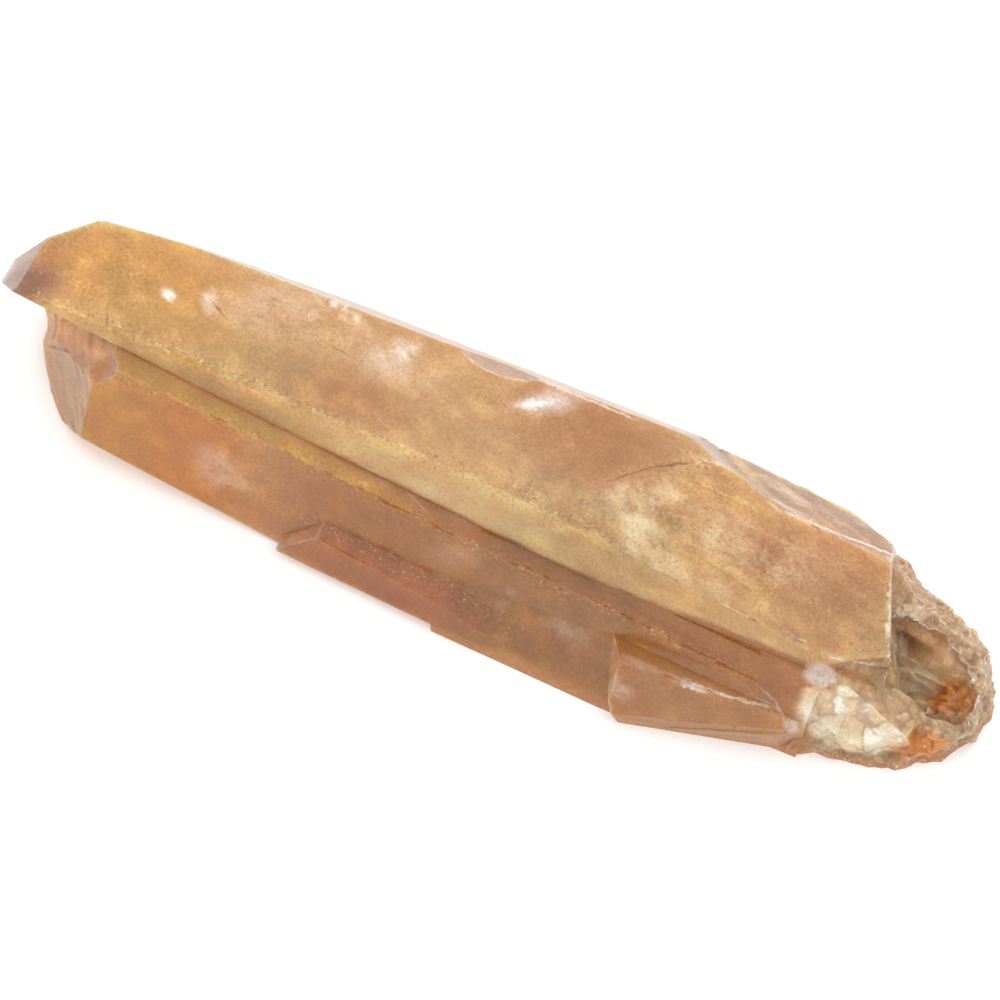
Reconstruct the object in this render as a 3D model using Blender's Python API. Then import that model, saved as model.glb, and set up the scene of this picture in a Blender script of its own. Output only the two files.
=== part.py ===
"""A natural citrine point: several quartz crystals grown side by side into one solid.

Units are metres in Blender; the sizes below are written in millimetres and multiplied by MM.
+X runs from the pointed tip to the broken base, +Y is the far side and +Z is up. The crystal
lies on its broad back face, at Z = 0.
"""

import math
import random

import bmesh
import bpy
from mathutils import Matrix, Vector, noise

MM = 0.001

# Height of the main crystal's flat top face, which sets the thickness of the whole piece.
TOP = 16.0

# A quartz prism has six faces, 60 degrees apart. These are their directions round the long
# axis, in degrees from the far side (+Y) towards the top (+Z).
UP = 90
FAR_UP = 30
FAR_DOWN = -30
DOWN = -90
NEAR_DOWN = 210
NEAR_UP = 150

# Quartz closes its tips with faces that lean this far from the prism faces towards the tip.
TIP_LEAN = 38.2

# A blank is a block that is larger than the whole specimen, before any face is cut.
BLANK = 200.0

# A plane this close to a corner passes through it, in millimetres.
SAME_POINT = 0.00001

# A chip flattens a lump at this share of its radius. The deepest chip is set for each lump,
# and the shallowest is the same for all.
SHALLOWEST_CHIP = 0.95

# Broken quartz is uneven at two scales: waves per millimetre, and how much the fine ones count.
COARSE_WAVES = 0.33
FINE_WAVES = 0.9
FINE_SHARE = 0.5


def clear_scene():
    """Remove what the new file starts with."""
    for item in list(bpy.data.objects):
        bpy.data.objects.remove(item, do_unlink=True)


def new_collection(name):
    """Return a new collection, linked to the scene."""
    collection = bpy.data.collections.new(name)
    bpy.context.scene.collection.children.link(collection)
    return collection


def facet_normal(around, lean):
    """Outward direction of a face: around the long axis, then leaning towards the tip (-X)."""
    around = math.radians(around)
    lean = math.radians(lean)
    side = math.cos(lean)
    return Vector((-math.sin(lean), side * math.cos(around), side * math.sin(around)))


def cut_face(bm, point, normal):
    """Cut a closed shape with one plane, drop the outer side and close the cut."""
    geometry = bm.verts[:] + bm.edges[:] + bm.faces[:]
    cut = bmesh.ops.bisect_plane(
        bm, geom=geometry, dist=SAME_POINT * MM, plane_co=Vector(point) * MM, plane_no=normal, clear_outer=True)
    rim = [item for item in cut["geom_cut"] if isinstance(item, bmesh.types.BMEdge)]
    if rim:
        bmesh.ops.holes_fill(bm, edges=rim, sides=0)


def to_object(bm, name, collection):
    """Turn the working mesh into an object."""
    bmesh.ops.recalc_face_normals(bm, faces=bm.faces)
    mesh = bpy.data.meshes.new(name)
    bm.to_mesh(mesh)
    bm.free()
    item = bpy.data.objects.new(name, mesh)
    collection.objects.link(item)
    return item


def crystal(name, facets, collection):
    """Cut a crystal from a block, one flat face at a time: (point in mm, around, lean)."""
    bm = bmesh.new()
    bmesh.ops.create_cube(bm, size=BLANK * MM)
    for point, around, lean in facets:
        cut_face(bm, point, facet_normal(around, lean))
    return to_object(bm, name, collection)


def stone(name, centre, size, turn, chips, deepest, seed, collection):
    """Make a chipped lump: an ellipsoid turned in plan, with random flat chips knocked off."""
    picker = random.Random(seed)
    bm = bmesh.new()
    bmesh.ops.create_icosphere(bm, subdivisions=3, radius=MM)
    for _ in range(chips):
        direction = Vector((picker.gauss(0, 1), picker.gauss(0, 1), picker.gauss(0, 1))).normalized()
        cut_face(bm, direction * picker.uniform(deepest, SHALLOWEST_CHIP), direction)
    bmesh.ops.scale(bm, vec=size, verts=bm.verts)
    bmesh.ops.rotate(bm, matrix=Matrix.Rotation(math.radians(turn), 3, "Z"), verts=bm.verts)
    bmesh.ops.translate(bm, vec=Vector(centre) * MM, verts=bm.verts)
    bmesh.ops.triangulate(bm, faces=bm.faces)
    return to_object(bm, name, collection)


def bite(name, point, outward, width, depth, collection):
    """Make the round cutter of a shell-shaped chip: it takes depth off a spot, width across."""
    radius = (width * width / 4 + depth * depth) / (2 * depth)
    centre = Vector(point) + Vector(outward).normalized() * (radius - depth)
    bm = bmesh.new()
    bmesh.ops.create_icosphere(bm, subdivisions=5, radius=radius * MM)
    bmesh.ops.translate(bm, vec=centre * MM, verts=bm.verts)
    return to_object(bm, name, collection)


def roughen(item, cuts, depth, grain, seed):
    """Break a lump's flat faces into small uneven ones."""
    bm = bmesh.new()
    bm.from_mesh(item.data)
    bmesh.ops.triangulate(bm, faces=bm.faces)
    for _ in range(cuts):
        long_edges = [edge for edge in bm.edges if edge.calc_length() > grain * MM]
        bmesh.ops.subdivide_edges(bm, edges=long_edges, cuts=1)
        bmesh.ops.triangulate(bm, faces=bm.faces)
    bm.normal_update()
    offset = Vector((seed, 0, 0))
    for vertex in bm.verts:
        place = vertex.co / MM
        fine = noise.noise(place * FINE_WAVES + offset)
        push = noise.noise(place * COARSE_WAVES + offset) + FINE_SHARE * fine
        vertex.co += vertex.normal * push * depth * MM
    bm.to_mesh(item.data)
    bm.free()


def combine(target, tools, operation, solver="EXACT"):
    """Join the tools to the target, or cut them from it, and remove them afterwards.

    Nearly parallel faces and the rough lumps' slivers are beyond the exact solver, so the
    crystals that cross at a shallow angle and the rough pieces use "MANIFOLD".
    """
    for tool in tools:
        step = target.modifiers.new(operation.title(), "BOOLEAN")
        step.operation = operation
        step.solver = solver
        step.object = tool
        bpy.context.view_layer.objects.active = target
        bpy.ops.object.modifier_apply(modifier=step.name)
        bpy.data.objects.remove(tool, do_unlink=True)


def main_crystal(work):
    """The large crystal: a flat hexagonal bar with a chisel tip and a long shallow break."""
    facets = [
        # The long faces. The far lower one bends in towards the tip.
        ((0, 0, TOP), UP, 0),
        ((-45.9, 10.1, TOP), FAR_UP, 3.4),
        ((-21.0, 14.5, 11.3), FAR_DOWN, 2),
        ((-45.9, 10.9, 14.6), FAR_DOWN, 14),
        ((-57.6, -5.1, 15.0), NEAR_DOWN, 3),
        ((6.5, -1.5, TOP), NEAR_UP, -2.3),
        # The tip: a small face beside the top one meets a large one from below in a chisel edge.
        ((-63.2, -2.5, TOP), UP, TIP_LEAN),
        ((-62.5, 3.9, TOP), -10, 47),
        ((-57.7, 8.3, TOP), FAR_UP, 7.5),
        ((-65.8, 0, 13.5), DOWN, TIP_LEAN),
        ((-65.0, -4.5, 13.5), NEAR_DOWN, TIP_LEAN),
        # The shallow break that takes the top off towards the base, in two slanting planes.
        ((13.1, 7.3, TOP), 97.5, -5.4),
        ((8.5, -1.5, TOP), 115, -6),
        # The worn far edge and the cliff where the crystal ends.
        ((38.1, 16.7, 11.0), 15, -15),
        ((47.2, 14.2, 10.0), 15, -32),
        ((48.0, 7.6, 12.0), 28, -64),
        ((46.9, 0.0, 12.0), 150, -30),
    ]
    body = crystal("main_crystal", facets, work)
    # A steep break and a gentler one below it, along the far edge of the shallow break.
    far_break = [((17.0, 14.7, TOP), 36 + 180, 13.1), ((31.4, 14.5, 12.6), 58 + 180, 3)]
    combine(body, [crystal("far_break", far_break, work)], "DIFFERENCE")
    edge_chip = bite("edge_chip", (-7.0, 12.75, TOP), (0, 0.6, 0.8), 10.5, 0.8, work)
    combine(body, [edge_chip], "DIFFERENCE", "MANIFOLD")
    return body


def lower_crystal(work):
    """The second crystal, grown along the near side, with a chipped tip of its own."""
    facets = [
        ((-41.5, -5.0, 13.3), UP, -4.1),
        ((-47.8, -8.4, 13.0), NEAR_UP, -2.7),
        ((-39.0, -14.5, 2.7), NEAR_DOWN, 3.7),
        ((0, 6, 5), 0, 0),
        ((45, 0, 0), 0, -90),
        # The tip, and a chip on its corner.
        ((-50.3, -10.4, 9.8), NEAR_UP, TIP_LEAN),
        ((-59.2, -9.3, 3.2), NEAR_DOWN, TIP_LEAN),
        ((-62.0, -4.0, 3.8), DOWN, TIP_LEAN),
        ((-50.2, -6.0, 12.8), 112, TIP_LEAN),
    ]
    body = crystal("lower_crystal", facets, work)
    chips = [
        bite("corner_chip", (-49.9, -8.0, 12.6), (-0.45, -0.45, 0.77), 6.4, 0.8, work),
        bite("tip_chip", (-60.4, -4.4, 4.6), (-0.8, -0.1, 0.6), 5.0, 0.7, work),
    ]
    combine(body, chips, "DIFFERENCE", "MANIFOLD")
    return body


def side_crystal(work):
    """The small crystal that stands out from the lower one's near face."""
    facets = [
        ((-15.0, -12.0, 5.1), 95, -3.5),
        ((-15.0, -13.6, 4.8), NEAR_UP, 0.3),
        ((-15.0, -15.9, 1.5), NEAR_DOWN, 0),
        ((0, -6, 0), 0, 0),
        ((2.0, -12.0, 4.1), 100, -14),
        ((6.0, -14.0, 3.0), NEAR_UP, -20),
        ((10, 0, 0), 0, -90),
        # The tip.
        ((-18.0, -12.0, 5.3), 100, 35),
        ((-23.5, -14.5, 3.0), 160, 50),
        ((-24.1, -14.5, 2.8), DOWN, 45),
    ]
    return crystal("side_crystal", facets, work)


def front_crystal(work):
    """The crystal that steps out beyond the side crystal and carries on to the base."""
    facets = [
        ((16.0, -5.1, 9.2), 130.5, -0.5),
        ((16.0, -15.9, 0.2), 145, -2.2),
        ((10.0, -16.7, 0.5), 160, 0),
        ((0, 4, 0), 0, 0),
        ((45, 0, 0), 0, -90),
        ((0, 0, 9.6), UP, 0),
        ((-1.0, -16.3, 1.0), 165, 62),
        ((28.0, -15.2, 0.5), 180, -17),
        ((40.0, -12.3, 0.5), 176, -30),
    ]
    return crystal("front_crystal", facets, work)


def clear_crystal(work):
    """The small clear crystal near the base."""
    facets = [
        ((30.0, -10.7, 6.6), 134, -6),
        ((30.0, -10.7, 6.6), 75, 0),
        ((26.0, -15.7, 1.8), 175, -17),
        ((0, -4, 0), 0, 0),
        ((43, 0, 0), 0, -90),
        # The tip.
        ((21.8, -14.2, 3.4), 140, 50),
        ((21.8, -14.2, 3.4), 230, 60),
    ]
    return crystal("clear_crystal", facets, work)


def pale_lump(work):
    """The pale block that is left standing in the break, with a ridge along its top."""
    ridge = (48.0, -3.2, 9.2)
    facets = [
        # The far side of the ridge, and two faces on its near side.
        (ridge, 73, -22),
        (ridge, 125, -4),
        (ridge, 138, -6),
        # Its ends.
        ((43.4, -8.7, 5.5), 121, 54),
        ((49.4, -8.0, 3.0), 168, 4),
        ((50.4, -8.0, 3.0), 168, -24),
        ((56.4, -4.8, 5.5), 100, -70),
        ((48.0, 0.4, 6.0), 6, 0),
        ((0, 0, -2), DOWN, 0),
    ]
    lump = crystal("pale_lump", facets, work)
    roughen(lump, 3, 0.3, 1.8, 6)
    return lump


def broken_base(work):
    """The rough end, where the crystals were snapped off their rock."""
    facets = [
        # Round the outline, from the far side to the near side.
        ((53.0, 13.1, 8.0), 5, -19),
        ((60.2, 11.0, 7.0), 10, -48),
        ((62.4, 6.0, 5.0), 20, -60),
        ((62.6, 1.0, 3.5), 90, -76),
        ((61.5, -1.9, 3.0), 170, -58),
        ((58.9, -4.2, 2.5), 165, -38),
        ((49.9, -8.6, 1.0), 170, -15.6),
        ((46.5, 13.6, 9.0), 40, -22),
        ((48.0, 14.0, 4.0), FAR_DOWN, -10),
        # The sloping top, and the lower step on the near side.
        ((48.0, 9.0, 10.2), 84, -15),
        ((54.0, -2.0, 5.6), 128, -14),
        # Inside the other crystals, and below the floor that the whole piece is cut to.
        ((44, 0, 0), 0, 90),
        ((0, 0, -2), DOWN, 0),
    ]
    base = crystal("base", facets, work)
    roughen(base, 4, 0.9, 1.8, 3)
    hollow = stone("hollow", (54.8, 2.9, 7.2), (8.4, 4.7, 5.2), -24, 16, 0.75, 5, work)
    roughen(hollow, 1, 0.9, 2.0, 9)
    combine(base, [hollow], "DIFFERENCE", "MANIFOLD")
    lumps = [
        pale_lump(work),
        stone("loose_chip", (44.2, -3.5, 8.4), (2.0, 1.4, 1.5), 10, 9, 0.6, 8, work),
    ]
    combine(base, lumps, "UNION", "MANIFOLD")
    return base


def centre(item):
    """Move a mesh so that the middle of its length and width is over the origin."""
    for axis in (0, 1):
        places = [vertex.co[axis] for vertex in item.data.vertices]
        middle = (min(places) + max(places)) / 2
        for vertex in item.data.vertices:
            vertex.co[axis] -= middle


def build():
    """Grow the crystals together, break the base and lay the piece on its flat back."""
    clear_scene()
    specimen = new_collection("citrine_point")
    work = new_collection("growths")

    point = main_crystal(work)
    growths = [lower_crystal(work), side_crystal(work), front_crystal(work), clear_crystal(work)]
    combine(point, growths, "UNION", "MANIFOLD")
    combine(point, [broken_base(work)], "UNION", "MANIFOLD")

    floor = crystal("floor", [((0, 0, 0), UP, 0)], work)
    combine(point, [floor], "DIFFERENCE", "MANIFOLD")
    centre(point)

    work.objects.unlink(point)
    specimen.objects.link(point)
    bpy.data.collections.remove(work)
    point.name = "citrine_point"
    point.data.name = "citrine_point"
    return point


def citrine():
    """Warm, slightly smoky quartz."""
    material = bpy.data.materials.new("citrine")
    material.use_nodes = True
    shader = material.node_tree.nodes["Principled BSDF"]
    shader.inputs["Base Color"].default_value = (0.60, 0.35, 0.14, 1.0)
    shader.inputs["Roughness"].default_value = 0.15
    shader.inputs["Metallic"].default_value = 0.0
    shader.inputs["IOR"].default_value = 1.544
    return material


piece = build()
piece.data.materials.clear()
piece.data.materials.append(citrine())
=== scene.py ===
# %% [markdown]
# # A natural citrine point
#
# This lesson dresses a plain, flat-faced solid as a real piece of citrine: several quartz
# crystals that grew side by side, with chisel tips at one end and a rough, sugary break at
# the other. The solid comes in as a frame, and its size is kept. A copy of it gets worn
# edges, a fine grid of points, washes of colour, thin lines and low relief, and then a
# clear, cloudy quartz finish.

import math

import bmesh
import bpy
import numpy as np
from mathutils import Matrix, Vector, noise


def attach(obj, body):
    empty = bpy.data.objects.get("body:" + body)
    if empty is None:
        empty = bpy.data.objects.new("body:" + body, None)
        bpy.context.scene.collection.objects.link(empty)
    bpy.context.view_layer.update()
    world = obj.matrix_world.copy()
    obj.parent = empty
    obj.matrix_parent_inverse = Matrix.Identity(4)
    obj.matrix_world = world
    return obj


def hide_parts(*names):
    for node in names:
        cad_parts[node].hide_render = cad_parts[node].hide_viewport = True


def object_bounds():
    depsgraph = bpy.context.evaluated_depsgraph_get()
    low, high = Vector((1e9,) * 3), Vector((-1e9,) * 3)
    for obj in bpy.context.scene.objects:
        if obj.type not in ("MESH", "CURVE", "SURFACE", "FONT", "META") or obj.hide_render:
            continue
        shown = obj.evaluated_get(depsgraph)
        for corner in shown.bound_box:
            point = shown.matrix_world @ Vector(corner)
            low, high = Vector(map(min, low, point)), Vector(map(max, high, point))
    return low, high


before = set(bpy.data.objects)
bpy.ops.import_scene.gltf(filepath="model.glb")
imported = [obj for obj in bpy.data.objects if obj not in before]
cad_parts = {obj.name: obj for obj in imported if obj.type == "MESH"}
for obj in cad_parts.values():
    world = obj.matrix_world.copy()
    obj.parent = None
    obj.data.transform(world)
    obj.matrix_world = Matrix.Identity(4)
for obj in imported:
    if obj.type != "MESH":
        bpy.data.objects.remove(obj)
solid_box = [list(corner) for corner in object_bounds()]
MM = 0.001
print("the solid's box:", solid_box)

# %% [markdown]
# ## Wearing the edges
#
# On a real crystal no edge is perfectly sharp: handling has rounded each one by a fraction
# of a millimetre, and that thin round is what catches the light as a bright line. A Bevel
# on the whole mesh would also eat the small facets of the broken end, so only the long,
# clear edges between crystal faces are bevelled. Coplanar triangles are dissolved first,
# because a bevel follows real edges and not the seams of a triangulation.

# %% Copy the solid and bevel its long edges
EDGE_ROUND = 0.16 * MM
CLEAR_EDGE = math.radians(11)
LONG_EDGE = 2.2 * MM
COPLANAR = math.radians(0.3)
SAME_POINT = 0.0005 * MM
OFF_THE_FLOOR = 0.1 * MM

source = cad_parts["citrine_point"]
bm = bmesh.new()
bm.from_mesh(source.data)
bm.transform(source.matrix_world)
bmesh.ops.remove_doubles(bm, verts=bm.verts, dist=SAME_POINT)
bmesh.ops.dissolve_limit(bm, angle_limit=COPLANAR, verts=bm.verts, edges=bm.edges)
long_edges = [
    edge for edge in bm.edges
    if edge.is_convex and edge.calc_length() > LONG_EDGE and edge.calc_face_angle(0) > CLEAR_EDGE
    and max(vertex.co.z for vertex in edge.verts) > OFF_THE_FLOOR
]
bmesh.ops.bevel(
    bm, geom=long_edges, offset=EDGE_ROUND, offset_type="OFFSET", segments=2, profile=0.6,
    affect="EDGES", clamp_overlap=True)
print(len(long_edges), "edges bevelled,", len(bm.faces), "faces,", "open edges:",
      sum(1 for edge in bm.edges if not edge.is_manifold))

# %% [markdown]
# ## A grid fine enough for relief
#
# Relief needs points to move, and a crystal face is one big polygon without any. A remesh
# would round or ripple the crisp edges. Cutting the mesh with evenly spaced planes keeps
# every face flat and every edge exact, and still leaves a point about every half
# millimetre. The rough end has the finest relief, so its longer edges are split once more.

# %% Slice the faces into a fine grid
GRID = 0.55 * MM
CUT_TOLERANCE = 0.0001 * MM


def slice_faces(bm, axis, step):
    """Cut every face with planes across one axis, one step apart."""
    normal = Vector((0, 0, 0))
    normal[axis] = 1
    low = min(vertex.co[axis] for vertex in bm.verts)
    high = max(vertex.co[axis] for vertex in bm.verts)
    count = int((high - low) / step)
    for number in range(1, count + 1):
        place = Vector((0, 0, 0))
        place[axis] = low + number * (high - low) / (count + 1)
        bmesh.ops.bisect_plane(
            bm, geom=bm.verts[:] + bm.edges[:] + bm.faces[:], dist=CUT_TOLERANCE,
            plane_co=place, plane_no=normal)


for axis in (0, 1, 2):
    slice_faces(bm, axis, GRID)
print(len(bm.verts), "points after slicing")

# %% Split the rough end once more, and shade smooth across the flat edges
BASE_STARTS = 46.0 * MM
SPLIT_ABOVE = 0.35 * MM
SHARP_EDGE = math.radians(28)

coarse = [
    edge for edge in bm.edges
    if min(vertex.co.x for vertex in edge.verts) > BASE_STARTS
    and max(vertex.co.z for vertex in edge.verts) > OFF_THE_FLOOR and edge.calc_length() > SPLIT_ABOVE]
bmesh.ops.subdivide_edges(bm, edges=coarse, cuts=1, use_grid_fill=True)
bmesh.ops.triangulate(bm, faces=[face for face in bm.faces if len(face.verts) > 4])
bmesh.ops.recalc_face_normals(bm, faces=bm.faces)
bm.normal_update()
for face in bm.faces:
    face.smooth = True
for edge in bm.edges:
    edge.smooth = edge.calc_face_angle(0) < SHARP_EDGE
print(len(bm.verts), "points,", len(bm.faces), "faces")

# %% [markdown]
# ## Zones, and the noise that breaks them up
#
# A crystal isn't one colour. The same quartz is golden at the main tip, amber along the
# lower crystal, mauve-brown further on and cream where it is bruised and full of cracks.
# Such zones could be painted on an unwrapped image, but an image is hard to change later.
# Here a zone is a value from 0 to 1 on every point of the mesh, worked out from where the
# point is and which way it faces. Most zones are soft ellipses in millimetres, so one is
# moved by changing a number. Noise on the same points keeps them from looking airbrushed.
# A few zones are painted light and shade: faces lightened where light falls or shines
# through, painted reflections and sheens, and painted shade in hollows and under overhangs.

# %% Where every point is, and a soft zone around a place
TOP = 16.0
places = np.array([vertex.co for vertex in bm.verts]) / MM
facing = np.array([vertex.normal for vertex in bm.verts])
X, Y, Z = places.T


def rise(value, low, high):
    """0 below low, 1 above high, and a smooth rise between them."""
    share = np.clip((value - low) / (high - low), 0, 1)
    return share * share * (3 - 2 * share)


def spot(centre, size, turn=0.0, fade=0.6):
    """A soft ellipsoid zone: centre and half sizes in mm, turned in plan by some degrees."""
    angle = math.radians(turn)
    along = (X - centre[0]) * math.cos(angle) + (Y - centre[1]) * math.sin(angle)
    across = -(X - centre[0]) * math.sin(angle) + (Y - centre[1]) * math.cos(angle)
    distance = np.sqrt(
        (along / size[0]) ** 2 + (across / size[1]) ** 2 + ((Z - centre[2]) / size[2]) ** 2)
    return 1 - rise(distance, 1 - fade, 1 + fade)


print("the points run from", places.min(axis=0).round(1), "to", places.max(axis=0).round(1), "mm")

# %% Smooth noise, from broad to fine
SEED_STEP = (7.3, 3.1, 5.7)


def waves(scale, seed, octaves=1, stretch=(1, 1, 1)):
    """Smooth noise from about -1 to 1, with features this many millimetres across."""
    shift = Vector([seed * step for step in SEED_STEP])
    scaled = places / scale / np.array(stretch)
    return np.array([noise.fractal(Vector(place) + shift, 1.0, 2.0, octaves) for place in scaled])


slow = waves(14.0, 1)
middle = waves(5.0, 2)
fine = waves(1.8, 3)
wisps = waves(3.4, 4, 3, (1.6, 1, 1)) + 0.3 * middle
mottle = waves(2.2, 5, 4, (1.4, 1, 1))
blotches = waves(11.0, 6, 2, (1.6, 1, 1))
streaks = waves(1.3, 7, 4, (8, 1, 1))
crumbs = waves(0.8, 8, 2)
print("noise ready for", len(places), "points")

# %% Which crystal, and which kind of face, each point belongs to
LOWER_TOP_X = (-60.0, -52.0, -49.0, 10.0, 17.0, 41.0, 50.0)
LOWER_TOP_Z = (7.5, 12.2, 13.87, 9.75, 9.6, 10.35, 10.6)
above = Z - np.interp(X, LOWER_TOP_X, LOWER_TOP_Z)
main = np.maximum(rise(above, 0.05, 0.3), rise(Y, 1.0, 2.0))
base_end = rise(X - 0.6 * slow - 0.5 * middle, 46.0, 47.2) * (1 - rise(Z - 0.12 * (52 - X), 9.9, 10.6))
base_end = np.maximum(base_end, rise(X, 51.0, 51.6))
lower = (1 - main) * (1 - base_end)
main = main * (1 - base_end)
near_face = rise(-facing[:, 1], 0.6, 0.8) * main
top_face = rise(facing[:, 2], 0.9, 0.97)
fracture = rise(TOP - Z, 0.05, 0.35) * rise(X, 8.0, 11.0) * rise(facing[:, 2], 0.45, 0.7) * main
rear = rise(facing[:, 1], 0.25, 0.5) * rise(X, 14, 20)
chisel = rise(-facing[:, 0], 0.35, 0.55)
high = rise(Z, 11.5, 12.8)
print(f"share of points: main {main.mean():.2f}, lower {lower.mean():.2f}, rough end {base_end.mean():.2f}")

# %% [markdown]
# ## Colour
#
# The zones are laid over each other like washes of paint, from the broadest to the
# smallest, and the result is kept in the mesh as one colour per point. Glass is asked for
# its colour many times in every pixel, so a colour that is ready in the mesh renders far
# faster than one that is mixed from twenty zones in the material. What is finer than the
# grid of points comes later, from the nodes.

# %% A palette
def colour(red, green, blue):
    """An sRGB colour from 0-255 values, as the linear colour that a shader works in."""
    channels = []
    for value in (red, green, blue):
        value /= 255
        channels.append(value / 12.92 if value <= 0.04045 else ((value + 0.055) / 1.055) ** 2.4)
    return (*channels, 1.0)


HONEY = colour(237, 196, 135)
GOLD = colour(236, 184, 84)
STRAW = colour(252, 211, 140)
BROWN = colour(212, 152, 88)
AMBER = colour(240, 152, 46)
MAUVE = colour(198, 131, 54)
FOOT_BROWN = colour(170, 112, 68)
RED = colour(192, 112, 56)
SMOKE = colour(150, 104, 84)
OLIVE_SHADOW = colour(170, 118, 54)
PEACH = colour(236, 168, 110)
PALE = colour(182, 143, 98)
REAR = colour(184, 156, 136)
LILAC_REFLECTION = colour(202, 188, 186)
ROSE_WITH_SHEEN = colour(222, 170, 124)
GREY_REFLECTION = colour(186, 174, 166)
CREAM = colour(243, 228, 198)
FLANK = colour(238, 196, 140)
IRON = colour(208, 130, 44)
RUST = colour(136, 76, 26)
HOLLOW = colour(248, 210, 162)
HOLLOW_DARK = colour(158, 108, 62)
CREVICE_SHADE = colour(166, 120, 76)
WHITE = colour(246, 240, 234)
GLARE = colour(240, 242, 250)
FROST = colour(250, 230, 192)
PAINTED_GLINT = colour(255, 232, 164)
PIT = colour(142, 84, 34)
print("honey, as a linear colour:", [round(channel, 3) for channel in HONEY])

# %% A wash of colour
tone = np.tile(np.array(HONEY), (len(places), 1))
cloudy = np.zeros(len(places))


def wash(name, zone, paint, cloud=0.0):
    """Blend a colour in where the zone is strong, and cloud the quartz there."""
    zone = np.clip(zone, 0, 1)
    tone[:] = tone * (1 - zone[:, None]) + zone[:, None] * np.array(paint)
    cloudy[:] = np.clip(cloudy + cloud * zone, 0, 1)
    print(f"{name}: {zone.mean():.4f}")


# %% The main crystal: honey, gold towards its tip, straw on its near bevel, brown at its end; the near bevel is also lightened as painted light, and the far sliver gets a grey painted reflection
wash("brown patches", 0.28 * rise(blotches, -0.35, 0.6), BROWN)
wash("golden tip", 0.95 * spot((-50, 3.5, TOP), (12, 6, 4), 8) * main, GOLD)
wash("warm tip", 0.5 * spot((-45, 0.5, TOP), (10, 5, 4), 5) * main, BROWN, cloud=0.5)
# Painted light: the near bevel is lightened with gold here and with straw two lines below, where light
# comes through the quartz; the straw tint is partly its own colour.
wash("golden bevel, painted light", 0.5 * near_face * (1 - rise(X, 30, 46)), GOLD)
wash("golden near side", 0.3 * spot((-34, -1, TOP), (18, 4, 4), 3) * main, GOLD)
wash("straw bevel, painted light", near_face * rise(X, -30, -12) * (1 - 0.7 * rise(X, 2, 14)), STRAW)
wash("straw near side", 0.2 * spot((-8, -1.0, TOP), (14, 3.5, 3), 2) * main, STRAW)
wash("brown near side", 0.8 * spot((-19, 0.5, TOP), (7, 3, 3), 3), BROWN)
wash("brown end", spot((10, 9.0, TOP), (9, 6.0, 3), 12, fade=0.8) * (1 - fracture), BROWN)
wash("brown far edge", 0.5 * rise(Y, 9.5, 13) * main * (1 - rise(X, 5, 15)), BROWN)
wash("brown tip", 0.6 * spot((-62, 1.5, TOP), (3.0, 5.5, 3.0), 30) * main, BROWN)
wash("smoky tip", 0.9 * spot((-62.2, -4.0, 15.5), (4.4, 2.6, 3), 35, fade=0.5), SMOKE)
# Painted reflection: the thin far sliver, seen at a grazing angle, is greyed as if it mirrored the bright
# room.
wash("painted reflection on the far sliver", 0.5 * rise(facing[:, 1], 0.3, 0.6) * (1 - rise(X, 14, 20)) * rise(Z, 9, 14), GREY_REFLECTION)
wash("far break", rear * rise(Z, 6, 12), REAR)

# %% The lower crystals: amber at their tips, then mauve-brown, with a red patch of regrowth; painted light on their upward faces, painted reflections on the chisel tips and painted shade under the main crystal's tip
red_patch = spot((-19.0, -10.8, 7.0), (5.5, 3.5, 5.0), -8, fade=0.8)
red_crystal = spot((-8.0, -13.5, 3.5), (15, 2.8, 3.5), 0, fade=0.3)
wash("amber", lower * (1 - rise(X + 3 * slow, -34, -16)), AMBER)
wash("lower near tip", 0.35 * lower * (1 - rise(X, -46, -36)), GOLD)
wash("mauve", lower * rise(X + 3 * slow, -32, -14), MAUVE)
wash("red", np.maximum(0.45 * red_patch, 0.7 * red_crystal) * lower, RED)
# Painted light: faces of the lower crystal that look up are lightened with gold, against the shade cast by
# the main crystal above them.
wash("painted light on the lower top", 0.85 * spot((-30, -6.8, 12.6), (24, 2.6, 3), 0) * top_face * lower, GOLD)
wash("front crystal", 0.2 * spot((35, -11.2, 4), (13, 4, 4), 10, fade=0.4) * lower, FLANK)
# Painted reflection: the main crystal's chisel faces are tinted lilac-grey, as if they mirrored the bright
# room.
wash("tips", 0.8 * chisel * main * high, LILAC_REFLECTION)
# The lower chisel faces: their own pinkish colour, with a painted sheen of reflected light.
wash("lower tips", 0.8 * chisel * np.maximum(lower, main * (1 - high)), ROSE_WITH_SHEEN)
# Painted shade: brown and a dark olive patch under the main crystal's overhanging tip, where shade falls.
shaded = 1 - main * high
wash("painted shade under the overhang", 0.7 * spot((-55.5, -3.8, 9.8), (5.5, 2.0, 4.0), -15) * shaded, BROWN, cloud=1.0)
wash("olive", 0.9 * spot((-52.0, -4.8, 11.8), (4.0, 1.3, 2.4), -15, fade=0.4) * shaded, OLIVE_SHADOW, cloud=0.8)
wash("peach", 0.6 * spot((-50.2, -7.4, 11.0), (2.3, 1.9, 2.2), -40, fade=0.7), PEACH)

# %% [markdown]
# ## The break and the veils
#
# A blow has taken a shallow flake off the top of the main crystal, near its base. Quartz
# breaks in curved ripples, as glass does, so the flake gets noise that is stretched one
# way, and it is frosted where it was crushed. Veils are sheets of tiny bubbles deeper
# inside. Sheets could be modelled within the glass, but they would render with much noise,
# so each veil is a soft, white, cloudy spot instead.

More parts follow.
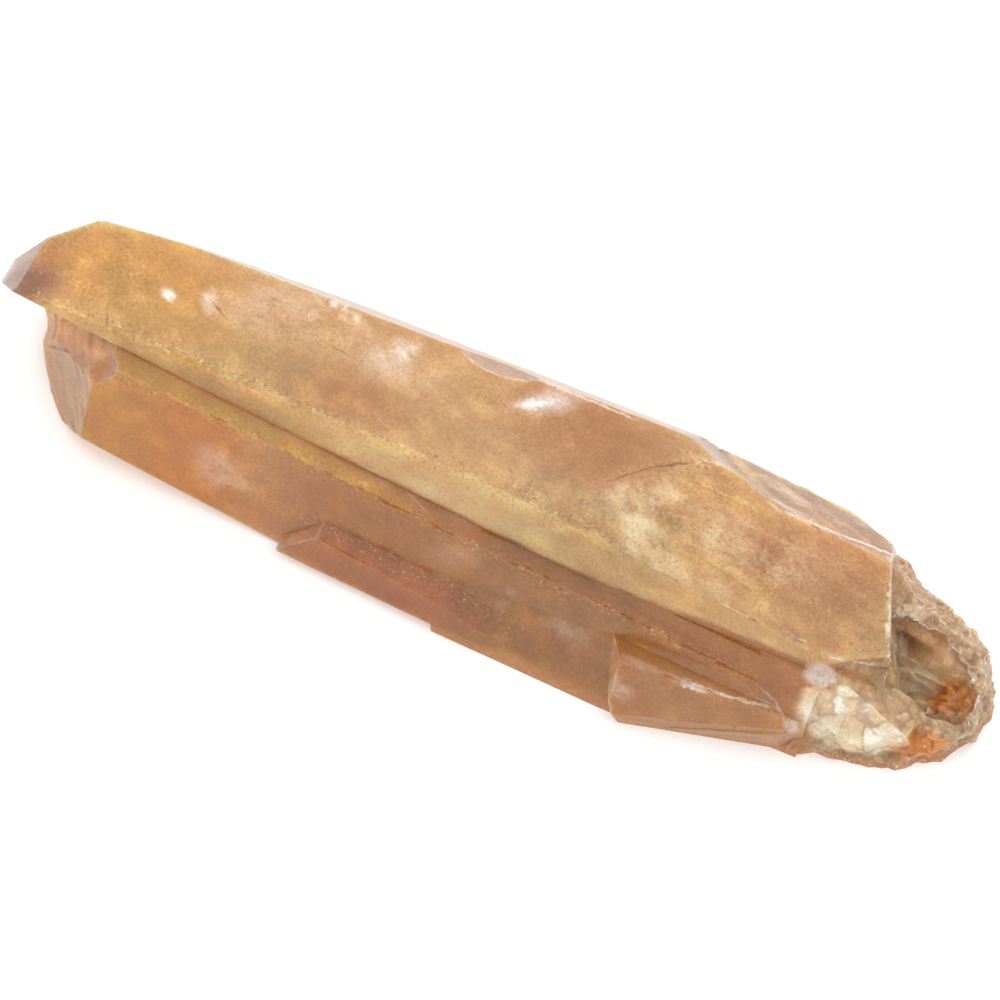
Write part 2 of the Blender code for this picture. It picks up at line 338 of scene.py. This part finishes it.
# %% Two more kinds of zone: long ridges, and a band along a line
def ridges(length, width, turn, seed):
    """Sharp crests up to 1: noise stretched along one direction in plan, in mm."""
    angle = math.radians(turn)
    along = (X * math.cos(angle) + Y * math.sin(angle)) / length
    across = (-X * math.sin(angle) + Y * math.cos(angle)) / width
    shift = Vector([seed * step for step in SEED_STEP])
    stretched = np.stack([along, across, Z / width], axis=1)
    return 1 - 2 * np.abs(np.array([noise.noise(Vector(place) + shift) for place in stretched]))


def band(points, width):
    """A soft zone along a line of points, in mm: 1 on the line, 0 at this distance from it."""
    nearest = np.full(len(places), 1e9)
    for start, end in zip(points, points[1:]):
        start, along = np.array(start), np.array(end) - np.array(start)
        share = np.clip((places - start) @ along / (along @ along), 0, 1)
        nearest = np.minimum(nearest, np.linalg.norm(places - start - share[:, None] * along, axis=1))
    return 1 - rise(nearest, 0, width)


ripple = ridges(9.0, 2.0, -12, 11)
print(f"ripples from {ripple.min():.2f} to {ripple.max():.2f}")

# %% The shallow break: streaks of gold, frost where it is crushed, and painted highlights and shade on its ripples
wash("gold streaks", fracture * rise(streaks, 0.0, 0.45) * 0.6, GOLD)
wash("brown streaks", fracture * rise(-streaks, 0.1, 0.5) * 0.5, BROWN)
# Painted light and shade: the ripple crests are lightened and their hollows darkened, to show the relief.
wash("painted highlight on ripple crests", fracture * rise(ripple, 0.6, 0.95) * 0.5, STRAW)
wash("painted shade in ripple hollows", fracture * rise(-ripple, -0.2, 0.3) * 0.5, BROWN)
wash("gold band", 0.6 * band([(21, 0.5, 14.4), (29, 2.0, 14.0), (37, 2.5, 13.4)], 3.2), GOLD)
wash("brown cliff", 0.5 * spot((44, 3.5, 12.8), (6, 5, 3)), BROWN)
wash("brown hollow", 0.8 * spot((38, 7.0, 13.5), (9, 5.0, 3), 5), BROWN)
frost = np.maximum.reduce([
    0.8 * spot((15.6, 4.4, 15.6), (3.8, 2.4, 2.5), 55, fade=0.7),
    1.0 * spot((19.5, 4.0, 15.0), (4.6, 3.4, 2.5), 60, fade=0.8),
    0.8 * spot((21.5, -0.4, 14.4), (5.0, 2.0, 2.5), -10, fade=0.9),
    0.6 * spot((26.0, 5.0, 14.7), (3.8, 3.0, 2.5), 0, fade=0.9),
    0.5 * spot((33.0, 5.5, 14.2), (7.0, 3.5, 2.5), 5, fade=0.9),
    0.5 * spot((32.0, 0.2, 13.6), (5.0, 1.2, 2.0), 5, fade=0.9),
]) * fracture
wash("frost", frost * rise(wisps + 0.5 * mottle, -0.45, 0.45) * 0.65, FROST, cloud=0.5)

# %% White veils inside the quartz
veil = np.maximum.reduce([
    1.3 * spot((-45.4, 2.9, TOP), (0.8, 0.5, 1), fade=0.9),
    0.9 * spot((-40.9, 4.9, TOP), (2.3, 0.8, 2), -55, fade=0.9),
    0.25 * spot((-33.0, 7.0, TOP), (6, 3.0, 2), 15, fade=0.9),
    0.8 * spot((-27.5, 7.8, TOP), (1.5, 0.9, 2), 0, fade=0.9),
    1.0 * spot((-24.4, 10.6, TOP), (3.8, 1.0, 1.5), 0, fade=0.9) * rise(crumbs, -0.5, 0.3),
    0.9 * spot((-15.5, 9.2, TOP), (4.5, 1.3, 1.5), 3, fade=0.9),
    0.4 * spot((-17.0, 7.2, TOP), (5.0, 2.0, 1.5), 3, fade=0.9),
    0.7 * spot((-1.4, 8.9, TOP), (2.2, 0.8, 1.5), 10, fade=0.9),
    0.40 * spot((-31.4, -11.4, 6.2), (3.2, 1.5, 3.0), -20, fade=0.9),
    0.12 * spot((-1.0, -9.3, 9.0), (3.4, 1.2, 3.0), 20, fade=0.9),
    0.45 * spot((7.0, -10.3, 7.0), (1.8, 0.6, 3.0), 60, fade=0.9),
    0.25 * spot((15.0, -10.5, 5.0), (2.4, 1.6, 3.0), 0, fade=0.9),
    0.3 * spot((-6.0, -5.2, 11.3), (5.0, 1.0, 3.0), 2, fade=0.9),
    0.5 * spot((24.5, -12.8, 4.2), (2.0, 2.0, 3.0), 2, fade=0.6),
])
bright = np.maximum(
    1.3 * spot((1.0, 10.2, TOP), (2.6, 0.6, 1.5), 33, fade=0.8),
    0.7 * spot((2.4, 11.2, TOP), (2.6, 1.3, 1.5), 33, fade=0.9))
wash("veils", veil * rise(wisps, -0.45, 0.35), WHITE, cloud=0.7)
wash("bright veil", bright * (0.9 + 0.3 * fine), GLARE, cloud=0.8)

# %% [markdown]
# ## The rough end
#
# Where the point broke off its rock, it has a hollow, a sugary rim, a pale lump of small
# crystals and rusty stains. Sugar is angular: each grain has flat sides and a shade of its
# own. Smooth noise can't give that, but Voronoi cells can, if the places they are read at
# are bent a little first. A real pile of grains would take a thousand small pieces.

# %% The lump, hollow, rim, chips and iron stains
LUMP_PEAK_X = 49.1
LUMP_PEAK_Y = -3.3
ridge_y = LUMP_PEAK_Y + np.where(X > LUMP_PEAK_X, -0.19, 0.44) * (X - LUMP_PEAK_X)
lump = spot((50.6, -4.4, 5.6), (8.0, 5.2, 5.4), 4, fade=0.12) * rise(X, 43.6, 44.6)
beyond = rise(Y - ridge_y + 0.5 * fine, -0.2, 0.3)
hollow = spot((54.8, 4.2, 4.2), (6.4, 4.4, 4.2), -18, fade=0.25) * base_end * (1 - lump)
rim = base_end * (1 - lump) * (1 - hollow)
chips = np.maximum(
    spot((45.2, -3.6, 9.4), (1.9, 1.4, 1.7), 10, fade=0.2),
    spot((44.4, -9.4, 5.2), (1.0, 0.7, 1.0), fade=0.3))
iron = np.maximum(
    spot((59.8, 2.9, 3.3), (2.9, 2.5, 2.8), 40, fade=0.5),
    spot((59.0, -4.0, 2.8), (3.4, 2.1, 2.4), 30, fade=0.5))
column = ridges(9.0, 1.5, -6, 13)
print(f"share of points: lump {lump.mean():.3f}, hollow {hollow.mean():.3f}, rim {rim.mean():.3f}")

# %% Sugary grains
FAINTEST = 0.02
DEEPEST_GRAIN = 0.8
SHADE_STEP = 9.7
bent = places + np.stack([1.2 * middle, 0.8 * fine, 1.0 * wisps], axis=1)


def grains(size, seed, where):
    """Angular grains, as in sugar: the depth inside each grain, and one random tone per grain."""
    depth, shade = np.zeros(len(places)), np.zeros(len(places))
    for number in np.flatnonzero(where > FAINTEST):
        gaps, centres = noise.voronoi(Vector(bent[number] / size + seed))
        depth[number] = min(gaps[1] - gaps[0], DEEPEST_GRAIN)
        shade[number] = noise.cell(centres[0] * SHADE_STEP)
    return depth, shade


coarse_depth, coarse_shade = grains(2.8, 5, np.maximum(rim, lump))
sugar_depth, sugar_shade = grains(1.0, 9, np.maximum(rim, lump))
print("points in grains:", int((coarse_depth > 0).sum()))

# %% Colour on the rough end: pale rim, brown hollow, cream lump, honey flank and rust, with painted light and shade on the hollow's columns and on the grains
wash("rim", 0.8 * rim, PALE, cloud=0.3)
wash("hollow", 0.9 * hollow, HOLLOW, cloud=0.1)
# Painted light and shade in the hollow: partly its own darker brown, partly painted shade in the troughs
# between its columns, and painted highlights on their crests.
wash("hollow planes, painted shade in troughs", 0.75 * hollow * rise(-column, -0.5, 0.5), HOLLOW_DARK)
wash("painted highlights on the hollow's columns", 0.5 * hollow * rise(column, 0.7, 0.98), FROST, cloud=0.4)
# Painted light and shade on the rim: grains darkened or lightened, one random shade each, as their flat
# sides would catch the light.
wash("rim shadows", 0.7 * rim * rise(-sugar_shade, 0.1, 0.9), CREVICE_SHADE)
wash("rim lights", 0.2 * rim * rise(sugar_shade, 0.2, 0.9), WHITE, cloud=0.3)
wash("flank", 0.9 * lump * beyond * rise(X, 47.5, 48.5), FLANK)
wash("cream", lump * (1 - beyond) * rise(Z, 1.6, 2.6), CREAM, cloud=0.5)
core = lump * (1 - beyond) * spot((50.5, -5.6, 6.2), (6.0, 2.6, 2.6), 2, fade=0.6)
# Painted light and shade on the lump: grains lightened and darkened, as their flat sides would catch the
# light, and darkened in the crevices between them.
wash("cream lights", 0.6 * core * rise(coarse_shade + 0.5 * sugar_shade, -0.4, 0.8), WHITE, cloud=0.3)
wash("painted shade in cream crevices", 0.6 * lump * rise(0.13 - coarse_depth, 0.0, 0.12) * rise(fine, -0.5, 0.2), CREVICE_SHADE)
wash("cream shadows", 0.5 * lump * rise(-coarse_shade, 0.2, 0.9), FLANK)
wash("chips", 0.7 * chips, WHITE, cloud=0.4)
wash("iron", iron * rise(crumbs + 1.1 * iron, 0.1, 0.7), IRON, cloud=0.6)
wash("rust", 0.8 * iron * rise(-crumbs, -0.1, 0.5), RUST)
# Browner and cloudier towards the bottom, where the piece meets the floor.
foot = 1 - rise(Z, 0.2, 1.6)
wash("foot", 0.85 * foot, FOOT_BROWN, cloud=1.2)

# %% Light and dark from place to place, more in blue than in red, so that dark is warmer
UNEVEN = np.array((0.6, 1.0, 1.5))
variation = 0.13 * mottle + 0.06 * crumbs + 0.08 * wisps + 0.05 * blotches
tone[:, :3] *= 1 + np.clip(variation, -0.3, 0.3)[:, None] * UNEVEN
tone = np.clip(tone, 0, 1)
cloudy = np.clip(cloudy + 0.2 * rise(mottle, 0.0, 0.8), 0, 1)
print("mean cloudiness:", round(float(cloudy.mean()), 3))

# %% Speckles, thickest along the ridges: painted glints and dark pits
NEAR_RIDGE = [(-60, -4.6, TOP), (-45.3, -3.5, TOP), (-16.8, -2.8, TOP), (7.5, -1.4, 15.5), (18, -2, 14)]
LOWER_RIDGE = [(-46.8, -8.5, 13), (-23.1, -7.3, 12.1), (12.9, -7.6, 8.9), (36.3, -6.7, 7.8)]
SIDE_RIDGE = [(-20.0, -12.2, 5.4), (-14.9, -11.8, 5.2), (2.0, -12.0, 4.2), (9.0, -12.6, 3.4)]
FAR_CORNER = [(20.2, 11.4, TOP), (22.9, 11.8, 15.8)]
speckled = np.maximum.reduce([
    1.0 * band(NEAR_RIDGE, 2.2), 0.9 * band(LOWER_RIDGE, 1.6), 0.9 * band(SIDE_RIDGE, 2.2),
    1.0 * band(FAR_CORNER, 2.4), 0.5 * spot((-56, 2, TOP), (9, 6, 3)), 0.4 * fracture,
    0.5 * band([(13.6, 6.6, TOP), (20.6, 11.4, TOP)], 1.6), 0.6 * rim, np.full(len(places), 0.10)])
print("mean strength of the speckles:", round(float(speckled.mean()), 3))

# %% [markdown]
# ## Thin lines
#
# Painted highlights on crests and edges, a few white scratches and dark scratches are
# thinner than the grid, so they can't be a value that is 1 on the line and 0 beside it.
# What does survive between the points is the distance across the line, with a sign,
# because it changes evenly over every face. The mesh keeps that distance, in widths of the
# line, and how strong the nearest line is: above 0 for a bright one, below 0 for a dark one.

# %% Lines: start and end in mm, width in mm, strength; most bright lines are painted highlights on crests and edges, a few are white scratches
LINES = [
    ((21.5, 12.6, TOP), (28.3, 13.2, 15.1), 0.22, 0.5),
    ((28.3, 13.2, 15.1), (36.2, 12.4, 13.6), 0.20, 0.5),
    ((32.5, 11.3, 14.8), (40.2, 12.0, 13.7), 0.20, 0.6),
    ((40.2, 12.0, 13.7), (47.4, 13.0, 12.6), 0.26, 0.8),
    ((-1.0, 13.0, TOP), (12.5, 13.5, TOP), 0.18, 0.6),
    ((47.1, 12.2, 13.2), (49.1, 7.6, 12.7), 0.50, 0.65),
    ((49.1, 7.6, 12.7), (50.9, 3.2, 12.0), 0.46, 0.65),
    ((50.9, 3.2, 12.0), (51.4, 1.0, 10.2), 0.26, 0.5),
    ((51.0, 0.4, 9.7), (47.8, -1.0, 10.7), 0.30, 0.5),
    ((47.8, -1.0, 10.7), (44.9, -1.9, 11.8), 0.24, 0.5),
    ((24.0, 2.6, 14.4), (33.7, 3.4, 13.6), 0.14, 0.25),
    ((28.9, 7.9, 14.7), (40.5, 8.2, 13.4), 0.12, 0.25),
    ((22.3, 9.8, 15.6), (30.5, 9.9, 14.9), 0.12, 0.25),
    ((27.1, 1.6, 14.2), (33.5, 0.9, 13.5), 0.16, -0.25),
    ((-9.9, 11.9, TOP), (-7.6, 11.25, TOP), 0.14, 0.5),
    ((-7.6, 11.25, TOP), (-4.4, 11.3, TOP), 0.16, 0.6),
    ((-4.4, 11.3, TOP), (-1.2, 12.2, TOP), 0.16, 0.5),
    ((30.4, -10.9, 6.6), (34.0, -10.3, 6.5), 0.55, 0.8),
    ((34.0, -10.3, 6.5), (41.6, -8.7, 6.1), 0.30, 0.6),
    ((41.2, -7.7, 6.8), (43.4, -9.2, 6.0), 0.22, 0.5),
    ((39.2, -7.3, 7.0), (41.6, -8.0, 6.6), 0.16, 0.4),
    ((-15.7, 0.0, TOP), (-12.4, -1.3, TOP), 0.12, 0.3),
    ((-9.1, -5.2, 11.1), (-5.0, -6.7, 10.8), 0.12, 0.4),
    ((-18.3, -12.3, 5.3), (-22.2, -14.0, 3.4), 0.20, 0.5),
    ((-50.9, -2.3, TOP), (-50.1, -4.1, TOP), 0.12, -0.5),
    ((-39.9, 4.3, TOP), (-38.0, 3.4, TOP), 0.20, -0.6),
    ((-24.8, 5.7, TOP), (-22.0, 5.5, TOP), 0.14, -0.4),
    ((-34.5, 8.2, TOP), (-32.8, 8.1, TOP), 0.12, -0.4),
    ((13.2, 5.2, 15.9), (16.9, 8.9, TOP), 0.18, -0.5),
    ((16.9, 8.9, TOP), (20.6, 11.4, TOP), 0.20, -0.6),
    ((-58.9, -5.2, 3.8), (-54.6, -6.2, 7.9), 0.24, -0.6),
]
print(len(LINES), "lines")

# %% Distance across the nearest line, and its strength
NO_LINE = 9.0
REACH = 1.2
line_gap = np.full(len(places), NO_LINE)
line_mark = np.zeros(len(places))
closest = np.full(len(places), REACH)
for start, end, width, strength in LINES:
    start, along = np.array(start), np.array(end) - np.array(start)
    share = np.clip((places - start) @ along / (along @ along), 0, 1)
    away = np.linalg.norm(places - start - share[:, None] * along, axis=1)
    here = away < closest
    outward = np.mean(facing[away < 1.0], axis=0) if (away < 1.0).any() else np.array((0, 0, 1))
    across = np.cross(along, outward)
    across /= np.linalg.norm(across)
    line_gap[here] = ((places - start) @ across / width)[here]
    ends = np.minimum(share, 1 - share) * np.linalg.norm(along)
    faded = strength * (1 - rise(away, 0.7, 1.1)) * (0.3 + 0.7 * rise(ends, 0, 0.8))
    line_mark[here] = faded[here]
    closest[here] = away[here]
print("points near a line:", int((line_mark != 0).sum()))

# %% Keep it all in the mesh
def store(name, values):
    """Write one value per point into the mesh, under a name the material can read."""
    layer = bm.verts.layers.float.new(name)
    for vertex, value in zip(bm.verts, values):
        vertex[layer] = float(value)


tone_layer = bm.verts.layers.float_color.new("tone")
for vertex, value in zip(bm.verts, tone):
    vertex[tone_layer] = value
for name, values in {
        "cloudy": cloudy, "frost": frost, "foot": foot, "speckled": speckled,
        "line_gap": line_gap, "line_mark": line_mark}.items():
    store(name, values)
print("kept in the mesh:", bm.verts.layers.float_color.keys() + bm.verts.layers.float.keys())

# %% [markdown]
# ## Relief
#
# The long faces are almost flat, with a slow swell. The shallow break has the curved
# ripples of broken glass, the lower tip has small ledges where growth stopped and started
# again, and the rough end has columns in its hollow and sugary grains on its rim. All of it
# is low, from a few hundredths of a millimetre on the faces to nearly a millimetre at the
# rough end, so the points are simply moved along their normals. The resting face stays
# flat, and nothing passes the solid's box.

# %% How far each point moves, in mm
DEEPEST = -0.9
HIGHEST = 0.35
LEDGE = 2.4
hackle = ridges(11.0, 2.6, -12, 11) * 0.26 + ridges(5.0, 1.3, -20, 12) * 0.10 + middle * 0.10 - 0.22
sugar = coarse_depth * 0.5 + sugar_depth * 0.3 - 0.3
columns = column * 0.45 - 0.3
facets = coarse_depth * 0.40 + sugar_depth * 0.15 - 0.28
steps = (Z + 0.45 * X + 1.6 * middle + 2.0 * slow) / LEDGE
ledges = chisel * lower * (steps - np.floor(steps)) * 0.20 * rise(wisps, -0.6, 0.5)
pocks = -0.14 * np.clip(speckled, 0, 1) * rise(waves(0.9, 21), 0.15, 0.5)
swell = slow * 0.05 + middle * 0.012
push = swell + fracture * hackle + rim * sugar + hollow * columns + ledges + pocks + lump * facets
push = np.clip(push, DEEPEST, HIGHEST)
off_floor = rise(Z, 0.0, 0.6)
print(f"relief from {push.min():.2f} to {push.max():.2f} mm")

# %% Move the points
SHARP_GRAIN = math.radians(24)
for vertex, amount, free in zip(bm.verts, push, off_floor):
    vertex.co += vertex.normal * float(amount * free * MM)
low_corner, high_corner = (Vector(corner) for corner in solid_box)
for vertex in bm.verts:
    for axis in (0, 1, 2):
        vertex.co[axis] = min(max(vertex.co[axis], low_corner[axis]), high_corner[axis])
bm.normal_update()
for edge in bm.edges:
    if min(vertex.co.x for vertex in edge.verts) > BASE_STARTS:
        edge.smooth = edge.calc_face_angle(0) < SHARP_GRAIN

mesh = bpy.data.meshes.new("crystal_point")
bm.to_mesh(mesh)
bm.free()
crystal_point = bpy.data.objects.new("crystal_point", mesh)
bpy.context.scene.collection.objects.link(crystal_point)
print("crystal_point:", sum(len(face.vertices) - 2 for face in mesh.polygons), "triangles")

# %% [markdown]
# ## The quartz
#
# Citrine is clear quartz with a little iron in it, so it is real glass to the renderer:
# transmission with quartz's IOR of 1.544, and an absorption that makes thick places
# deeper in colour than thin ones. A natural piece is also full of tiny cracks and
# bubbles that scatter light. They could be modelled as a scattering volume, but that is
# slow and noisy. Here they are the share of the surface that isn't transmission: soft,
# coloured subsurface light, whose share grows in the clouds, on the break and at the base.

# %% Start the material
quartz = bpy.data.materials.new("cloudy_citrine")
quartz.use_nodes = True
tree = quartz.node_tree
shader = tree.nodes["Principled BSDF"]
output = tree.nodes["Material Output"]
print("new material with", len(tree.nodes), "nodes")

# %% Adding a node, and setting or linking its inputs
def fill(made, inputs):
    """Set or link the inputs of a node, given by number or name."""
    for key, value in inputs.items():
        socket = made.inputs[key]
        if isinstance(value, bpy.types.NodeSocket):
            made.id_data.links.new(value, socket)
        else:
            socket.default_value = value
    return made


def node(kind, settings=None, **inputs):
    """Add a node to the material, set its properties, and set or link its inputs by name."""
    made = tree.nodes.new(kind)
    for name, value in (settings or {}).items():
        setattr(made, name, value)
    return fill(made, {name.replace("_", " "): value for name, value in inputs.items()})


# %% Small steps that the material repeats
def kept(name, output="Fac"):
    """Read one of the values that are kept in the mesh."""
    return node("ShaderNodeAttribute", {"attribute_name": name}).outputs[output]


def mixed(share, first, second):
    """Blend two colours, or a colour into what is there already."""
    made = tree.nodes.new("ShaderNodeMix")
    made.data_type = "RGBA"
    return fill(made, {0: share, 6: first, 7: second}).outputs[2]


def sums(operation, first, second=0.0, clamp=False):
    """One step of arithmetic on two values."""
    made = tree.nodes.new("ShaderNodeMath")
    made.operation = operation
    made.use_clamp = clamp
    return fill(made, {0: first, 1: second}).outputs[0]


def times(first, second):
    """Two values multiplied, kept between 0 and 1."""
    return sums("MULTIPLY", first, second, clamp=True)


def ranged(value, low, high, out_low=0.0, out_high=1.0):
    """Stretch a value from one range to another, clamped."""
    made = node("ShaderNodeMapRange", Value=value, From_Min=low, From_Max=high,
                To_Min=out_low, To_Max=out_high)
    return made.outputs["Result"]


# %% Fine noise: sand and specks
place = node("ShaderNodeTexCoord").outputs["Object"]


def grain(scale, detail, roughness):
    """Noise whose features are 1/scale mm across."""
    made = node("ShaderNodeTexNoise", Vector=place, Scale=scale / MM, Detail=detail, Roughness=roughness)
    return made.outputs["Fac"]


sand = grain(2.6, 2.0, 0.75)
specks = grain(1.1, 2.0, 0.7)
print(len(tree.nodes), "nodes with the noise")

# %% Colour: the washes, then frost, sand, painted glints and pits
SAND_DARK = (0.90, 0.80, 0.68, 1.0)
SAND_LIGHT = (1.08, 1.14, 1.22, 1.0)
tint = kept("tone", "Color")
tint = mixed(times(kept("frost"), ranged(specks, 0.46, 0.62, 0.0, 0.6)), tint, FROST)
shade = mixed(ranged(sand, 0.32, 0.68), SAND_DARK, SAND_LIGHT)
product = node("ShaderNodeVectorMath", {"operation": "MULTIPLY"})
tint = fill(product, {0: tint, 1: shade}).outputs[0]
speckled = kept("speckled")
# Painted glints: tiny bright dots where the sand noise is high, standing in for sparkles of reflected
# light.
painted_glints = times(ranged(sand, 0.60, 0.69), speckled)
pits = times(ranged(sand, 0.40, 0.32), speckled)
tint = mixed(times(pits, 0.6), tint, PIT)
tint = mixed(times(painted_glints, 0.8), tint, PAINTED_GLINT)
print(len(tree.nodes), "nodes with the colours")

# %% Colour: bright lines, mostly painted highlights, and dark lines, with a wavering edge
gap = sums("ADD", kept("line_gap"), ranged(specks, 0.3, 0.7, -0.6, 0.6))
inked = ranged(sums("ABSOLUTE", gap), 1.0, 0.5)
mark = kept("line_mark")
highlight_and_scratch_line = times(inked, times(mark, ranged(sand, 0.35, 0.55, 0.45, 1.0)))
dark_line = times(inked, sums("MULTIPLY", mark, -1.0))
tint = mixed(dark_line, tint, PIT)
tint = mixed(highlight_and_scratch_line, tint, WHITE)
fill(shader, {"Base Color": tint})
print(len(tree.nodes), "nodes with the lines")

# %% How clear and how rough it is, from clear quartz to the thickest cloud
CLEAR, CLOUDED = 0.55, 0.08
GLOSSY, FROSTED = 0.29, 0.5
bright_bits = sums("MULTIPLY", sums("ADD", highlight_and_scratch_line, painted_glints), 0.6)
cloudy_now = sums("ADD", kept("cloudy"), bright_bits, clamp=True)
bumps = node("ShaderNodeBump", Height=sand, Strength=0.3, Distance=0.08 * MM)
fill(shader, {
    "Transmission Weight": ranged(cloudy_now, 0.0, 1.0, CLEAR, CLOUDED),
    "Roughness": ranged(cloudy_now, 0.0, 1.0, GLOSSY, FROSTED),
    "Normal": bumps.outputs["Normal"],
    "IOR": 1.544,
    "Metallic": 0.0,
    "Coat Weight": 0.35,
    "Coat Roughness": 0.06,
})
print("clearness", CLEAR, "to", CLOUDED, "and roughness", GLOSSY, "to", FROSTED)

# %% Light inside the quartz: it spreads in the clouds, but not in the thin foot
ABSORBED_TO = (0.96, 0.70, 0.42, 1.0)
ABSORPTION = 25.0
fill(shader, {
    "Subsurface Weight": ranged(kept("foot"), 0.0, 1.0, 1.0, 0.0),
    "Subsurface Radius": (3.4, 3.0, 2.6),
    "Subsurface Scale": 1.0 * MM,
})
depth = node("ShaderNodeVolumeAbsorption", Color=ABSORBED_TO, Density=ABSORPTION)
fill(output, {"Volume": depth.outputs["Volume"]})
print(len(tree.nodes), "nodes in all")

# %% Put the finish on, and say what the piece stands for
mesh.materials.append(quartz)
level = crystal_point.modifiers.new("flat_faces_stay_flat", "WEIGHTED_NORMAL")
level.mode = "FACE_AREA"
level.weight = 90
level.keep_sharp = True
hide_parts("citrine_point")
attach(crystal_point, "root")
print("quartz finish on", crystal_point.name)

# %% [markdown]
# ## The stage
#
# The piece lies on a plain white floor in a white room, which fills every reflection
# softly. One wide light stands behind it, so that the far faces catch it and the near faces
# fall into their own colour. A harder or nearer light would make hot spots on the glass.

# %% Floor
FLOOR_SIZE = 4.0
bpy.ops.mesh.primitive_plane_add(size=FLOOR_SIZE, location=(0, 0, 0))
floor = bpy.context.object
floor.name = "floor"
paper = bpy.data.materials.new("white_paper")
paper.use_nodes = True
fill(paper.node_tree.nodes["Principled BSDF"], {"Base Color": (0.96, 0.96, 0.96, 1.0), "Roughness": 0.9})
floor.data.materials.append(paper)
print("a white floor,", FLOOR_SIZE, "m wide")

# %% One soft light, and a white room
LIGHT_PLACE = Vector((0.0, 0.88, 0.45))
LIGHT_SIZE = 0.6
LIGHT_POWER = 3.5
ROOM_LIGHT = 1.28

lamp = bpy.data.lights.new("far_light", "AREA")
lamp.shape = "SQUARE"
lamp.size = LIGHT_SIZE
lamp.energy = LIGHT_POWER
far_light = bpy.data.objects.new("far_light", lamp)
bpy.context.scene.collection.objects.link(far_light)
far_light.location = LIGHT_PLACE
far_light.rotation_euler = (-LIGHT_PLACE).to_track_quat("-Z", "Y").to_euler()

world = bpy.data.worlds.new("studio")
world.use_nodes = True
fill(world.node_tree.nodes["Background"], {"Color": (1.0, 1.0, 1.0, 1.0), "Strength": ROOM_LIGHT})
bpy.context.scene.world = world
print("one soft light of", LIGHT_POWER, "W, and a white room")

# %% [markdown]
# ## The camera
#
# The camera looks down steeply from the front right, so that the piece runs from the
# upper left to the lower right of the picture. It could be aimed with a constraint, but
# two angles and a distance say the same thing, and its matrix follows from them. The lens
# is worked out from how many pixels one millimetre should cover.

# %% Camera
AZIMUTH = math.radians(26.85)
ELEVATION = math.radians(67)
DISTANCE = 520 * MM
AIM = Vector((1.066, -0.096, 8.0)) * MM
PIXELS_PER_MM = 8.3
PICTURE = 1000
SENSOR = 36.0

back = Vector((math.sin(AZIMUTH) * math.cos(ELEVATION), -math.cos(AZIMUTH) * math.cos(ELEVATION),
               math.sin(ELEVATION)))
right = Vector((math.cos(AZIMUTH), math.sin(AZIMUTH), 0))
up = back.cross(right)
lens = bpy.data.cameras.new("camera")
lens.sensor_width = SENSOR
lens.lens = PIXELS_PER_MM * (DISTANCE / MM) * SENSOR / PICTURE
lens.clip_start = 10 * MM
camera = bpy.data.objects.new("camera", lens)
bpy.context.scene.collection.objects.link(camera)
camera.matrix_world = (
    Matrix.Translation(AIM + back * DISTANCE)
    @ Matrix((right, up, back)).transposed().to_4x4())
bpy.context.scene.camera = camera
print("lens:", round(lens.lens, 1), "mm")

# %% [markdown]
# ## Finishing
#
# The Standard view transform keeps the white room white and the honey colours full, where
# a film-like one would grey them.

# %% Finish
bpy.context.scene.view_settings.view_transform = "Standard"
bpy.context.view_layer.update()
